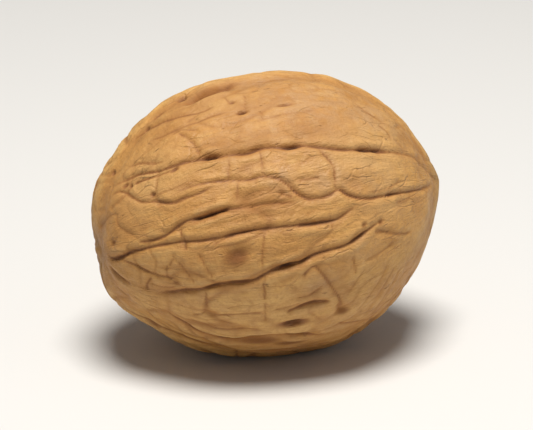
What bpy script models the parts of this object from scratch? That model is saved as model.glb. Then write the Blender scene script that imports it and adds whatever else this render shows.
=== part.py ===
"""A whole walnut in its shell, as one closed solid. Metres, +Z up.

The nut lies on a small flat spot under its weight, with its long axis near +X and its pointed apex raised a
little. The origin is under the middle of its box, on the surface that it rests on.

A place on the shell is a station and a bearing, in degrees. The station runs from 0 at the blunt base to 180
at the apex. The bearing turns round the long axis: 0 at the upper seam, 90 in the middle of the front cheek,
180 at the lower seam and 270 in the middle of the back cheek."""

import math
from collections import namedtuple

import bmesh
import bpy
import numpy as np
from mathutils import Matrix

MM = 0.001

# The plain form under the relief: fullness is the half-width at a station over the sine of that station
LENGTH = 42.3 * MM
UPPER_FULLNESS = (23.0, 17.5, 17.4, 16.8, 16.75, 14.9, 3.0)
LOWER_FULLNESS = (23.0, 15.3, 16.0, 16.85, 17.0, 14.1, 3.0)
CHEEK_FULLNESS = (23.0, 17.0, 16.8, 16.5, 16.2, 13.5, 3.0)

# How the nut lies: the relief fades out over the spot that it rests on, which is cut flat
ROLL = math.radians(17)
TILT = math.radians(7)
REST_CUT = 0.34 * MM
REST_REACH = 5.8 * MM

# The raised rim where the two halves of the shell meet, the fine suture on it and the valleys beside it
RIM_HEIGHT = 0.52 * MM
RIM_REACH = 1.9 * MM
SUTURE_DEPTH = 0.4 * MM
SUTURE_REACH = 0.32 * MM
SUTURE_SWAY = math.radians(2.2)
SUTURE_TURNS = 5
VALLEY_DEPTH = 0.2 * MM
VALLEY_OFFSET = 3.5 * MM
VALLEY_REACH = 1.4 * MM
VALLEY_UNEVEN = 0.45
VALLEY_PATCH = 5 * MM
SEAM_FADE = math.radians(9)

# The stem scar in the middle of the base, where the rim sinks away
SCAR_DEPTH = 0.3 * MM
SCAR_OFFSET = 1.6 * MM
SCAR_REACH = 0.9 * MM
SCAR_BUTTON = 0.2 * MM
SCAR_BUTTON_REACH = 0.8 * MM
BASE_FADE = math.radians(26)

# Broad lumps of the shell, each height a sum of seeded waves whose widths spread round its own
WAVES = 40
WAVE_SPREAD = (0.7, 1.5)
LUMP_HEIGHT = 0.2 * MM
LUMP_REACH = 17 * MM
RIPPLE_HEIGHT = 0.09 * MM
RIPPLE_REACH = 6.5 * MM
RIPPLE_STRETCH = 2.2

# Shares of a groove's depth and reach that go to its soft shoulders and its raised lips
SHOULDER_DEPTH = 0.42
SHOULDER_REACH = 4.2
LIP_HEIGHT = 0.2
LIP_OFFSET = 2.1
GROOVE_EDGE = 3
SLOT_EASE = 2.5
END_EASE = 0.12
END_DEPTH = 0.05

# How the formulas are followed: steps between a groove's places, and the step that gives a pit its direction
PATH_STEPS = 6
STEP_AHEAD = 0.01

# The solid's mesh: how finely the sphere it starts as is divided, and how many triangles are kept
SPHERE_LEVELS = 7
MOST_TRIANGLES = 11600
SHARP_EDGE = math.radians(60)
SEED = 43

SHELL_COLOUR = (0.52, 0.29, 0.12, 1)
SHELL_ROUGHNESS = 0.6

Groove = namedtuple("Groove", "places depth reach slots", defaults=((),))
Pit = namedtuple("Pit", "station bearing length width depth")

# Grooves of the front cheek. Slots are the stretches, by station, where a groove opens and deepens.
FRONT_GROOVES = (
    Groove(((29, 29), (35, 36), (41, 40), (45, 44), (50, 48.5), (54, 50), (60, 51.8), (66, 53.6), (71, 55.2),
            (76, 56.4), (80, 57.2), (84, 56.5), (88, 57), (93, 58.8), (98, 59), (102, 60.5), (107, 62),
            (112, 63.2), (118, 63.4), (124, 63.5), (131, 63.5), (138, 62.8), (146, 62.5), (153, 65.5),
            (161, 73)),
           0.68 * MM, 0.42 * MM, ((65, 72, 1.1), (77, 86, 0.5), (91, 97, 0.9), (114, 127, 0.5))),
    Groove(((12, 92), (16, 98), (20, 97), (25, 94), (30, 91.3), (36, 90.3), (42, 89.5), (50, 89.2),
            (58, 90.3), (66, 90.4), (71, 90), (77, 90), (81, 90.4), (86, 91), (92, 92), (98, 92.6),
            (102, 92.9), (105, 92.2), (108, 90.5), (112, 88.8)),
           0.57 * MM, 0.42 * MM, ((13, 29, 0.8), (66, 77, 0.4), (90, 103, 0.4))),
    Groove(((38, 124.5), (42, 121.5), (46, 118.8), (50, 116.3), (55, 114.8), (60, 112.6), (65, 111.4),
            (70, 111.4), (74, 111), (78, 108.8), (82, 107.6), (87, 107), (90, 106.8), (94, 105), (99, 104.5),
            (104, 104.5), (108.7, 103.3), (112.7, 101.5), (116.5, 100), (119.5, 99.3)),
           0.68 * MM, 0.42 * MM, ((57, 63, 0.5), (65, 74, 0.3), (81, 93, 1.2), (106, 113, 0.3))),
    Groove(((52, 65), (57, 64.3), (63, 65), (68, 66), (73, 67.4), (78, 69), (82, 68.8), (86, 70.4),
            (89, 73.2), (92, 78.5), (95, 81.7), (98, 82.5), (102.5, 82.2), (106, 80.6), (109, 83.6),
            (112.6, 85.9), (116.8, 87.3), (121.5, 87.5), (127.5, 88), (133.5, 88.7), (141, 89.8),
            (150, 90.8), (162, 92)),
           0.49 * MM, 0.36 * MM, ((88, 95, 0.4), (105, 113, 0.4), (124, 131, 0.6))),
    Groove(((34, 84), (37, 85.3), (41, 85.6), (45, 85), (48, 83.5), (51, 81.5), (55, 79.7), (60, 80),
            (64, 79.6), (69, 79.2), (74, 79.8), (79, 80.2), (84, 80.8), (88, 81.7), (92, 82.6)),
           0.49 * MM, 0.38 * MM, ((35, 38, 0.6), (50, 52, 0.5), (57, 70, 1.3), (86, 90, 0.3))),
    Groove(((27, 37), (31, 40), (34, 45), (36, 51), (38.5, 57.5), (42, 62), (45.5, 64), (49, 67.3), (52, 69),
            (56, 68.7), (60, 69), (64, 68.2), (68, 67.5)),
           0.41 * MM, 0.36 * MM, ((46, 52, 0.5),)),
    Groove(((39, 45), (42, 46.5), (46, 49), (50, 51), (55, 53)), 0.44 * MM, 0.36 * MM, ((41, 46, 0.4),)),
    Groove(((40, 31), (44, 34.5), (47, 39.5), (50, 43), (53, 45.5)), 0.27 * MM, 0.4 * MM),
    Groove(((42, 136), (47, 141), (52, 145), (57, 147.8), (62, 148.5), (67, 148), (71, 146.5), (75, 144.3),
            (80, 143.6), (86, 144.5), (91, 146.5), (97, 150)),
           0.75 * MM, 0.5 * MM, ((62, 69, 0.5), (72, 79, 1.1), (83, 91, 0.9))),
    Groove(((22, 97.5), (28, 100.5), (32, 103), (36, 106), (40, 108), (45, 109), (49, 109.6)),
           0.35 * MM, 0.36 * MM, ((30, 37, 0.4),)),
    Groove(((12, 112), (16, 117), (20, 119.5), (24, 120.8), (28, 121.5)),
           0.41 * MM, 0.36 * MM, ((13, 25, 0.4),)),
    Groove(((83, 128.8), (86, 127.6), (90, 126.4), (94, 126.6), (98, 127.8)),
           0.46 * MM, 0.4 * MM, ((85, 97, 0.5),)),
    Groove(((67, 14), (70, 13.8), (73, 14), (75.7, 14), (78.6, 12.8), (82.5, 10.6), (87, 9)),
           0.57 * MM, 0.42 * MM, ((70, 81, 0.8),)),
    Groove(((46, 9), (51, 12.5), (56, 17), (61, 21.5), (66, 25), (71, 27), (76, 27)), 0.35 * MM, 0.5 * MM),
    Groove(((50, 26), (56, 30), (62, 32), (68, 33), (74, 33.2), (80, 34)), 0.24 * MM, 0.5 * MM),
    Groove(((116, 101.8), (119.5, 103.8), (122.5, 106.6), (126, 109), (130, 111.7), (134, 113.4)),
           0.22 * MM, 0.4 * MM),
    Groove(((37, 115), (40, 116.6), (44, 116.3), (48, 114)), 0.24 * MM, 0.36 * MM),
    Groove(((58, 130.2), (62, 129), (66, 128), (72, 127.5), (77, 128)), 0.22 * MM, 0.4 * MM),
    Groove(((50, 137), (57, 138.5), (64, 139.5), (70, 138), (77, 138.5)), 0.27 * MM, 0.42 * MM),
    Groove(((100, 143), (106, 147), (112, 152)), 0.3 * MM, 0.42 * MM),
)

# Short lines that cross between the long grooves
FRONT_LINKS = (
    Groove(((60.8, 34), (62.5, 38), (64, 43), (64.8, 48), (65.2, 52)), 0.33 * MM, 0.34 * MM),
    Groove(((73.5, 57), (73.3, 60), (72, 65), (71.5, 67)), 0.19 * MM, 0.34 * MM),
    Groove(((84, 57), (84, 60.5), (83.3, 65), (83, 69)), 0.22 * MM, 0.34 * MM),
    Groove(((102.5, 61), (104.3, 65), (106.3, 70), (106, 73), (105.6, 76), (105.3, 79), (106.2, 80.6)),
           0.33 * MM, 0.34 * MM),
    Groove(((79.5, 91), (78.5, 95), (77.5, 100), (77, 104), (76.5, 109)), 0.24 * MM, 0.34 * MM),
    Groove(((76.5, 112), (76.6, 117), (76.6, 121)), 0.24 * MM, 0.34 * MM),
    Groove(((89.5, 114.4), (90.3, 111.6), (93.3, 109.7), (95.9, 114.5), (98.2, 120.5), (100.2, 125.9),
            (101.2, 131), (101.6, 135.5)), 0.29 * MM, 0.42 * MM),
    Groove(((57.8, 115), (57.6, 120), (57.6, 126)), 0.27 * MM, 0.36 * MM),
    Groove(((38, 110), (35.7, 116), (35.3, 122)), 0.33 * MM, 0.4 * MM),
    Groove(((48.4, 94), (48.2, 96), (47, 99), (45.7, 102)), 0.22 * MM, 0.34 * MM),
    Groove(((51.6, 82), (52.3, 86), (52.6, 90), (52.5, 94.5)), 0.33 * MM, 0.34 * MM),
    Groove(((86.5, 77), (88.5, 78.5), (90.5, 80)), 0.41 * MM, 0.36 * MM),
    Groove(((101, 88), (101.3, 92), (101.5, 97)), 0.19 * MM, 0.34 * MM),
)

PITS = (
    Pit(85.3, 135.5, 2.4 * MM, 0.8 * MM, 0.85 * MM),
    Pit(83, 36.4, 0.95 * MM, 0.48 * MM, 0.7 * MM),
    Pit(81.4, 28, 0.6 * MM, 0.55 * MM, 0.3 * MM),
    Pit(97, 36.6, 1.7 * MM, 0.45 * MM, 0.3 * MM),
    Pit(45.2, 59.5, 0.55 * MM, 0.5 * MM, 0.4 * MM),
    Pit(55.3, 52.8, 0.9 * MM, 0.45 * MM, 0.45 * MM),
    Pit(35.4, 41, 0.8 * MM, 0.5 * MM, 0.35 * MM),
    Pit(37.4, 44.6, 0.5 * MM, 0.5 * MM, 0.35 * MM),
    Pit(32.8, 17, 0.6 * MM, 0.6 * MM, 0.35 * MM),
    Pit(52.3, 12, 0.7 * MM, 0.6 * MM, 0.4 * MM),
    Pit(119.6, 99.7, 0.7 * MM, 0.55 * MM, 0.26 * MM),
    Pit(112.6, 98.2, 0.6 * MM, 0.55 * MM, 0.22 * MM),
    Pit(47.5, 112, 1.0 * MM, 0.5 * MM, 0.16 * MM),
    Pit(19.8, 80.2, 0.8 * MM, 0.6 * MM, 0.18 * MM),
)

# Broad soft hollows
DENTS = (
    Pit(70.5, 98.5, 2.6 * MM, 1.4 * MM, 0.34 * MM),
    Pit(76.5, 77, 2.3 * MM, 1.3 * MM, 0.26 * MM),
    Pit(97.5, 55.5, 2.8 * MM, 1.2 * MM, 0.24 * MM),
    Pit(102, 134, 2.2 * MM, 1.1 * MM, 0.34 * MM),
    Pit(77, 147, 3.6 * MM, 1.6 * MM, 0.55 * MM),
    Pit(59.5, 128.5, 1.5 * MM, 1.1 * MM, 0.2 * MM),
    Pit(111.5, 79, 2.6 * MM, 1.5 * MM, 0.2 * MM),
    Pit(69.9, 17.6, 2.2 * MM, 1.0 * MM, 0.22 * MM),
)

# The long grooves of the sides behind and below: the bearings that they keep to, and how they wander
BACK_BEARINGS = (162, 199, 217, 233, 251, 268, 285, 303, 321, 341)
BACK_START = (16, 27)
BACK_END = (148, 164)
BACK_STEP = 7
BACK_WANDER = (5.5, 3.3, 1.9)
BACK_TURNS = (2.1, 4.7, 9.3)
BACK_DEPTH = (0.38 * MM, 0.6 * MM)
BACK_REACH = 0.42 * MM
BACK_SLOTS = 3
BACK_SLOT_START = (30, 140)
BACK_SLOT_SPAN = (6, 14)
BACK_SLOT_GAIN = (0.4, 1.1)

# The links that leave one long groove there and join the next one, so that together they net the shell
LINKS_PER_GAP = 5
LINK_START = (32, 125)
LINK_SPAN = (6, 26)
LINK_BEND = 3
LINK_DEPTH = (0.24 * MM, 0.42 * MM)
LINK_REACH = 0.38 * MM

# Small pits of the sides behind and below
BACK_PITS = 26
BACK_PIT_STATION = (35, 145)
BACK_PIT_BEARING = (160, 372)
BACK_PIT_LENGTH = (0.7 * MM, 1.8 * MM)
BACK_PIT_WIDTH = (0.5 * MM, 0.8 * MM)
BACK_PIT_DEPTH = (0.25 * MM, 0.5 * MM)

# Faint short creases that run along the nut on every side
CREASES = 70
CREASE_START = (22, 140)
CREASE_SPAN = (8, 24)
CREASE_SLANT = 5
CREASE_BEND = 2.5
CREASE_DEPTH = (0.07 * MM, 0.15 * MM)
CREASE_REACH = (0.35 * MM, 0.6 * MM)


def knots(values, share):
    """A smooth curve through evenly spaced values, read at shares from 0 to 1."""
    values = np.array([2 * values[0] - values[1], *values, 2 * values[-1] - values[-2]])
    spans = len(values) - 3
    place = np.clip(share, 0, 1) * spans
    index = np.minimum(place.astype(int), spans - 1)
    t = place - index
    before, start, end, after = (values[index + i] for i in range(4))
    return (start + 0.5 * t * (end - before + t * (2 * before - 5 * start + 4 * end - after
            + t * (3 * (start - end) + after - before))))


def half_width(station, bearing):
    """The plain form's distance from the long axis."""
    share = station / math.pi
    across, deep = np.cos(bearing), np.sin(bearing)
    seam = np.where(across > 0, knots(UPPER_FULLNESS, share), knots(LOWER_FULLNESS, share))
    cheek = knots(CHEEK_FULLNESS, share)
    return MM * np.sin(station) / np.sqrt((across / seam) ** 2 + (deep / cheek) ** 2)


def plain_form(station, bearing):
    """Points of the nut without its relief: x to the apex, y to the upper seam, z to the front cheek."""
    width = half_width(station, bearing)
    along = -LENGTH / 2 * np.cos(station)
    return np.stack((along, width * np.cos(bearing), width * np.sin(bearing)), axis=-1)


def waves(points, reach, stretch, seed):
    """A smooth seeded height of about -1 to 1, with lumps as wide as reach and stretched along the nut."""
    draw = np.random.default_rng(seed)
    across = draw.normal(size=(WAVES, 3))
    across *= math.pi / np.linalg.norm(across, axis=1, keepdims=True)
    across /= reach * draw.uniform(*WAVE_SPREAD, (WAVES, 1))
    across[:, 0] /= stretch
    phase = draw.uniform(0, 2 * math.pi, WAVES)
    return np.sin(points @ across.T + phase).sum(axis=1) / math.sqrt(WAVES)


def smooth_path(places):
    """Stations and bearings along a smooth line through the places, in degrees."""
    places = np.array(places, float)
    share = np.linspace(0, 1, PATH_STEPS * (len(places) - 1) + 1)
    return knots(places[:, 0], share), knots(places[:, 1], share)


def nearest_on(path, points):
    """For each point, its distance from the path and where the nearest spot is, in steps along the path."""
    start, step = path[:-1], np.diff(path, axis=0)
    offset = points[:, None] - start
    along = np.clip((offset * step).sum(axis=2) / (step ** 2).sum(axis=1), 0, 1)
    away = np.linalg.norm(offset - along[..., None] * step, axis=2)
    best = away.argmin(axis=1)
    rows = np.arange(len(points))
    return away[rows, best], best + along[rows, best]


def slot_gain(groove, station):
    """How much deeper than its plain depth a groove is at each station."""
    gain = np.ones(station.shape)
    for first, last, extra in groove.slots:
        rise = (station - first) / SLOT_EASE
        fall = (last - station) / SLOT_EASE
        gain += extra * np.clip(rise, 0, 1) * np.clip(fall, 0, 1)
    return gain


def add_groove(height, points, groove):
    """Sinks one groove into the heights, with soft shoulders and raised lips, tapered at its ends."""
    station, bearing = smooth_path(groove.places)
    path = plain_form(np.radians(station), np.radians(bearing))
    widest = GROOVE_EDGE * SHOULDER_REACH * groove.reach
    middle = (path.min(axis=0) + path.max(axis=0)) / 2
    span = (path.max(axis=0) - path.min(axis=0)) / 2 + widest
    near = np.flatnonzero((np.abs(points - middle) < span).all(axis=1))
    away, place = nearest_on(path, points[near])
    share = place / (len(path) - 1)
    taper = np.clip(np.minimum(share, 1 - share) / END_EASE, END_DEPTH, 1)
    depth = groove.depth * taper * slot_gain(groove, np.interp(place, np.arange(len(path)), station))
    across = away / groove.reach
    lip = np.exp(-(across - LIP_OFFSET) ** 2)
    slot = np.exp(-across ** 2)
    shoulder = np.exp(-(across / SHOULDER_REACH) ** 2)
    height[near] += depth * (LIP_HEIGHT * lip - (1 - SHOULDER_DEPTH) * slot) \
        - SHOULDER_DEPTH * groove.depth * taper * shoulder


def add_pit(height, points, pit):
    """Sinks one oval hollow, longer along the nut than across it."""
    station, bearing = math.radians(pit.station), math.radians(pit.bearing)
    centre = plain_form(np.array(station), np.array(bearing))
    ahead = plain_form(np.array(station + STEP_AHEAD), np.array(bearing)) - centre
    offset = points - centre
    along = offset @ ahead / np.linalg.norm(ahead)
    across = np.sqrt(np.maximum((offset ** 2).sum(axis=1) - along ** 2, 0))
    height -= pit.depth * np.exp(-(2 * along / pit.length) ** 2 - (2 * across / pit.width) ** 2)


def bowed_line(draw, start, first, end, last, bend):
    """Three places from one station and bearing to another, bowed sideways by up to bend degrees."""
    return (start, first), ((start + end) / 2, (first + last) / 2 + draw.uniform(-bend, bend)), (end, last)


def wandering_line(draw, bearing):
    """Stations and bearings of one long groove that keeps near a bearing."""
    stations = np.arange(draw.uniform(*BACK_START), draw.uniform(*BACK_END), BACK_STEP)
    phase = draw.uniform(0, 2 * math.pi, len(BACK_TURNS))
    sway = np.sin(np.radians(np.outer(stations, BACK_TURNS)) + phase)
    return stations, bearing + sway @ np.array(BACK_WANDER)


def back_grooves():
    """The long grooves and links of the sides behind and below, drawn from the seed."""
    draw = np.random.default_rng(SEED)
    lines = [wandering_line(draw, bearing) for bearing in BACK_BEARINGS]
    grooves = []
    for stations, bearings in lines:
        slots = tuple((start, start + draw.uniform(*BACK_SLOT_SPAN), draw.uniform(*BACK_SLOT_GAIN))
                      for start in draw.uniform(*BACK_SLOT_START, BACK_SLOTS))
        grooves.append(Groove(tuple(zip(stations, bearings)), draw.uniform(*BACK_DEPTH), BACK_REACH, slots))
    for pair in zip(lines, lines[1:]):
        for _ in range(LINKS_PER_GAP):
            one, other = pair if draw.random() < 0.5 else pair[::-1]
            start = draw.uniform(*LINK_START)
            end = start + draw.uniform(*LINK_SPAN)
            places = bowed_line(draw, start, np.interp(start, *one), end, np.interp(end, *other), LINK_BEND)
            grooves.append(Groove(places, draw.uniform(*LINK_DEPTH), LINK_REACH))
    return grooves


def back_pits():
    """Small pits of the sides behind and below, drawn from the seed."""
    draw = np.random.default_rng(SEED + 1)
    ranges = (BACK_PIT_STATION, BACK_PIT_BEARING, BACK_PIT_LENGTH, BACK_PIT_WIDTH, BACK_PIT_DEPTH)
    return [Pit(*(draw.uniform(*limits) for limits in ranges)) for _ in range(BACK_PITS)]


def creases():
    """Faint creases of every side, drawn from the seed."""
    draw = np.random.default_rng(SEED + 5)
    found = []
    for _ in range(CREASES):
        start = draw.uniform(*CREASE_START)
        first = draw.uniform(0, 360)
        last = first + draw.uniform(-CREASE_SLANT, CREASE_SLANT)
        places = bowed_line(draw, start, first, start + draw.uniform(*CREASE_SPAN), last, CREASE_BEND)
        found.append(Groove(places, draw.uniform(*CREASE_DEPTH), draw.uniform(*CREASE_REACH)))
    return found


def seam_height(station, bearing, points):
    """The rim along the seam, its suture and the valleys beside it."""
    sway = SUTURE_SWAY * np.sin(SUTURE_TURNS * station) * np.sin(station)
    turn = (bearing - sway + math.pi / 2) % math.pi - math.pi / 2
    away = half_width(station, bearing) * np.abs(turn)
    fade = np.clip(np.minimum(station, math.pi - station) / SEAM_FADE, 0, 1)
    uneven = 1 + VALLEY_UNEVEN * waves(points, VALLEY_PATCH, RIPPLE_STRETCH, SEED + 2)
    rim = RIM_HEIGHT * np.clip(station / BASE_FADE, 0, 1) * np.exp(-(away / RIM_REACH) ** 2)
    suture = SUTURE_DEPTH * fade * np.exp(-(away / SUTURE_REACH) ** 2)
    valley = VALLEY_DEPTH * fade * uneven * np.exp(-((away - VALLEY_OFFSET) / VALLEY_REACH) ** 2)
    return rim - suture - valley


def scar_height(points):
    """The button and the shallow ring of the stem scar."""
    away = np.linalg.norm(points - (-LENGTH / 2, 0, 0), axis=1)
    button = SCAR_BUTTON * np.exp(-(away / SCAR_BUTTON_REACH) ** 2)
    return button - SCAR_DEPTH * np.exp(-((away - SCAR_OFFSET) / SCAR_REACH) ** 2)


def rest_fade(points):
    """0 on the spot that the nut rests on, rising to 1 around it."""
    heights = points @ np.array(lie_down().to_3x3())[2]
    away = np.linalg.norm(points - points[heights.argmin()], axis=1)
    return 1 - np.exp(-(away / REST_REACH) ** 4)


def relief(station, bearing, points):
    """How far the shell stands out from the plain form at each point."""
    height = LUMP_HEIGHT * waves(points, LUMP_REACH, 1, SEED + 3)
    height += RIPPLE_HEIGHT * waves(points, RIPPLE_REACH, RIPPLE_STRETCH, SEED + 4)
    height += seam_height(station, bearing, points) + scar_height(points)
    for groove in (*FRONT_GROOVES, *FRONT_LINKS, *back_grooves(), *creases()):
        add_groove(height, points, groove)
    for pit in (*PITS, *DENTS, *back_pits()):
        add_pit(height, points, pit)
    return height * rest_fade(points)


def read_vertices(mesh, field):
    values = np.empty(len(mesh.vertices) * 3, np.float32)
    mesh.vertices.foreach_get(field, values)
    return values.reshape(-1, 3).astype(float)


def write_vertices(mesh, points):
    mesh.vertices.foreach_set("co", points.astype(np.float32).ravel())
    mesh.update()


def shape_shell(mesh):
    """Turns a unit sphere into the nut, along its own axes."""
    unit = read_vertices(mesh, "co")
    unit /= np.linalg.norm(unit, axis=1, keepdims=True)
    station = np.arccos(np.clip(-unit[:, 0], -1, 1))
    bearing = np.arctan2(unit[:, 2], unit[:, 1])
    points = plain_form(station, bearing)
    write_vertices(mesh, points)
    outward = read_vertices(mesh, "normal")
    write_vertices(mesh, points + outward * relief(station, bearing, points)[:, None])


def lie_down():
    """The turn from the nut's own axes to how it lies."""
    to_row = Matrix(((1, 0, 0, 0), (0, 0, -1, 0), (0, 1, 0, 0), (0, 0, 0, 1)))
    return Matrix.Rotation(-TILT, 4, "Y") @ Matrix.Rotation(-ROLL, 4, "X") @ to_row


def lay_down(mesh):
    """Turns the nut to how it lies, with the rest plane at height 0."""
    mesh.transform(lie_down())
    lowest = read_vertices(mesh, "co")[:, 2].min()
    mesh.transform(Matrix.Translation((0, 0, -lowest - REST_CUT)))


def thinned(shell):
    """A copy of the shell's mesh with few enough triangles for a solid."""
    decimate = shell.modifiers.new("Thin", "DECIMATE")
    decimate.ratio = MOST_TRIANGLES / len(shell.data.polygons)
    graph = bpy.context.evaluated_depsgraph_get()
    mesh = bpy.data.meshes.new_from_object(shell.evaluated_get(graph))
    shell.modifiers.remove(decimate)
    return mesh


def cut_flat(mesh):
    """Cuts the flat spot at height 0 and centres the nut's box over the origin."""
    shape = bmesh.new()
    shape.from_mesh(mesh)
    everything = shape.verts[:] + shape.edges[:] + shape.faces[:]
    plane = {"plane_co": (0, 0, 0), "plane_no": (0, 0, -1)}
    cut = bmesh.ops.bisect_plane(shape, geom=everything, clear_outer=True, **plane)
    rim = [item for item in cut["geom_cut"] if isinstance(item, bmesh.types.BMEdge)]
    flat = bmesh.ops.holes_fill(shape, edges=rim)["faces"]
    bmesh.ops.triangulate(shape, faces=flat)
    bmesh.ops.recalc_face_normals(shape, faces=shape.faces)
    shape.to_mesh(mesh)
    shape.free()
    points = read_vertices(mesh, "co")
    middle = (points.min(axis=0) + points.max(axis=0)) / 2
    mesh.transform(Matrix.Translation((-middle[0], -middle[1], 0)))


def shell_material():
    material = bpy.data.materials.new("walnut_shell")
    material.use_nodes = True
    shader = material.node_tree.nodes["Principled BSDF"]
    shader.inputs["Base Color"].default_value = SHELL_COLOUR
    shader.inputs["Roughness"].default_value = SHELL_ROUGHNESS
    shader.inputs["Metallic"].default_value = 0
    return material


def make_walnut():
    collection = bpy.data.collections.new("walnut")
    bpy.context.scene.collection.children.link(collection)
    bpy.ops.mesh.primitive_ico_sphere_add(subdivisions=SPHERE_LEVELS, radius=1)
    shell = bpy.context.object
    shell.name = "walnut_shell"
    shape_shell(shell.data)
    lay_down(shell.data)
    mesh = thinned(shell)
    cut_flat(mesh)
    mesh.shade_smooth()
    mesh.set_sharp_from_angle(angle=SHARP_EDGE)
    sphere = shell.data
    shell.data = mesh
    bpy.data.meshes.remove(sphere)
    mesh.name = shell.name
    mesh.materials.append(shell_material())
    bpy.context.collection.objects.unlink(shell)
    collection.objects.link(shell)


for old in list(bpy.data.objects):
    bpy.data.objects.remove(old)
make_walnut()
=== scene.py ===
"""A whole walnut in its shell, lying on a pale floor. Metres, +Z up.

The nut is shaped by the part's own formulas, at a finer step and with narrower grooves. A place on the shell
is a station, in degrees from 0 at the blunt base to 180 at the apex, and a bearing round the long axis, in
degrees, with 0 at the upper seam, 90 in the middle of the front cheek and 270 in that of the back cheek."""

import math
from collections import namedtuple

import bmesh
import bpy
import numpy as np
from mathutils import Matrix, Vector
from mathutils.kdtree import KDTree


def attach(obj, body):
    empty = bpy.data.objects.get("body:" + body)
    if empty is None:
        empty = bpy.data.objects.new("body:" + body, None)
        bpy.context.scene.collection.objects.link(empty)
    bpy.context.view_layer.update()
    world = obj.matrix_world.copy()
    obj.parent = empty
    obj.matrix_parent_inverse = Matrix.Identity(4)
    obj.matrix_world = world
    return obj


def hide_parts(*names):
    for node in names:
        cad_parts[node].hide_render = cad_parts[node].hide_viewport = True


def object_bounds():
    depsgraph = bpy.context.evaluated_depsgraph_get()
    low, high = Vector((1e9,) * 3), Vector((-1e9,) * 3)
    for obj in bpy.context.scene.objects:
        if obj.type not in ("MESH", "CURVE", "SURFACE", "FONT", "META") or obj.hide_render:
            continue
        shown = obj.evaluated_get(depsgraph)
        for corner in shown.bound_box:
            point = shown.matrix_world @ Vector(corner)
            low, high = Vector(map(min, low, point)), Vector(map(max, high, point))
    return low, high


MM = 0.001

# What the lists below are made of. An oval is a pit, or a patch of the look whose depth is its strength.
Groove = namedtuple("Groove", "places depth reach slots", defaults=((),))
Oval = namedtuple("Oval", "station bearing length width depth")
Patches = namedtuple("Patches", "reach middle swing least")
Pattern = namedtuple("Pattern", "scale detail roughness start end")

# The plain form under the relief: fullness, in millimetres, is the half-width at a station over its sine
LENGTH = 42.3 * MM
UPPER_FULLNESS = (23.0, 17.5, 17.4, 16.8, 16.75, 14.9, 3.0)
LOWER_FULLNESS = (23.0, 15.3, 16.0, 16.85, 17.0, 14.1, 3.0)
CHEEK_FULLNESS = (23.0, 17.0, 16.8, 16.5, 16.2, 13.5, 3.0)

# How the nut lies: the relief fades out over the spot that it rests on, which is cut flat
ROLL = math.radians(17)
TILT = math.radians(7)
REST_CUT = 0.34 * MM
REST_REACH = 5.8 * MM

# The raised rim where the two halves of the shell meet, the fine suture on it and the valleys beside it
RIM_HEIGHT = 0.52 * MM
RIM_REACH = 1.9 * MM
SUTURE_DEPTH = 0.4 * MM
SUTURE_REACH = 0.32 * MM
SUTURE_SWAY = math.radians(2.2)
SUTURE_TURNS = 5
VALLEY_DEPTH = 0.2 * MM
VALLEY_OFFSET = 3.5 * MM
VALLEY_REACH = 1.4 * MM
VALLEY_UNEVEN = 0.45
VALLEY_PATCH = 5 * MM
SEAM_FADE = math.radians(9)

# The stem scar in the middle of the base, where the rim sinks away
SCAR_DEPTH = 0.3 * MM
SCAR_OFFSET = 1.6 * MM
SCAR_REACH = 0.9 * MM
SCAR_BUTTON = 0.2 * MM
SCAR_BUTTON_REACH = 0.8 * MM
BASE_FADE = math.radians(26)

# Broad lumps of the shell, each height a sum of seeded waves whose widths spread round its own
WAVES = 40
WAVE_SPREAD = (0.7, 1.5)
LUMP_HEIGHT = 0.2 * MM
LUMP_REACH = 17 * MM
RIPPLE_HEIGHT = 0.09 * MM
RIPPLE_REACH = 6.5 * MM
RIPPLE_STRETCH = 2.2

# Shares of a groove's depth and reach that go to its soft shoulders and its raised lips
SHOULDER_DEPTH = 0.42
SHOULDER_REACH = 4.2
LIP_HEIGHT = 0.2
LIP_OFFSET = 2.1
GROOVE_EDGE = 3
SLOT_EASE = 2.5
END_EASE = 0.12
END_DEPTH = 0.05

# How the formulas are followed: steps between a groove's places, and the step that gives a pit its direction
PATH_STEPS = 6
STEP_AHEAD = 0.01

SEED = 43

# What the fine shell has beyond the solid one: narrower slots whose edges waver, a grain and small pillows
CUBE_CUTS = 127
SLOT_SHARE = 0.62
PLAIN_SHARE = 0.68
SHOULDER_SHARE = 0.42
PLAIN_DARKNESS = 0.88
WOBBLE = 0.045 * MM
WOBBLE_REACH = 1.1 * MM
GRAIN_HEIGHT = 0.02 * MM
GRAIN_REACH = 0.9 * MM
GRAIN_STRETCH = 3
PILLOW_HEIGHT = 0.05 * MM
PILLOW_REACH = 2 * MM
PILLOW_STRETCH = 1.5

# Winding wrinkles run where a seeded height crosses zero; each set has its reach, stretch, depth and width
WRINKLE_SETS = ((3.4 * MM, 2.1, 0.12 * MM, 0.16), (1.9 * MM, 1.6, 0.075 * MM, 0.22))
WRINKLE_PATCHES = Patches(6 * MM, 0.5, 0.7, 0.25)

# The marks that colour the shell: dark lines and a brown halo beside them, darker where the groove is deeper,
# partly the shell's brown and partly painted shade; brown blotches and patches of painted shade; ashen
# patches; paler patches with a painted highlight on the lips of grooves; and the rise, by which hollows get
# painted shade and high places get lighter
MARKS = ("line", "groove_halo", "blotch_and_shade", "bloom", "pale_and_lip_highlight", "rise")
RISE_SPAN = 0.35 * MM
DARKEST_DEPTH = 1.3 * MM
LINE_EASE = 0.6
LINE_SHARE = 0.46
LIP_HIGHLIGHT = 0.3
HALO_REACH = 2.4
SUTURE_DARKNESS = 0.7
PIT_DARKNESS = 1.2
DARK_PATCH_DEPTH = 0.06 * MM
GRAIN_RADIUS = 16 * MM

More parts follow.
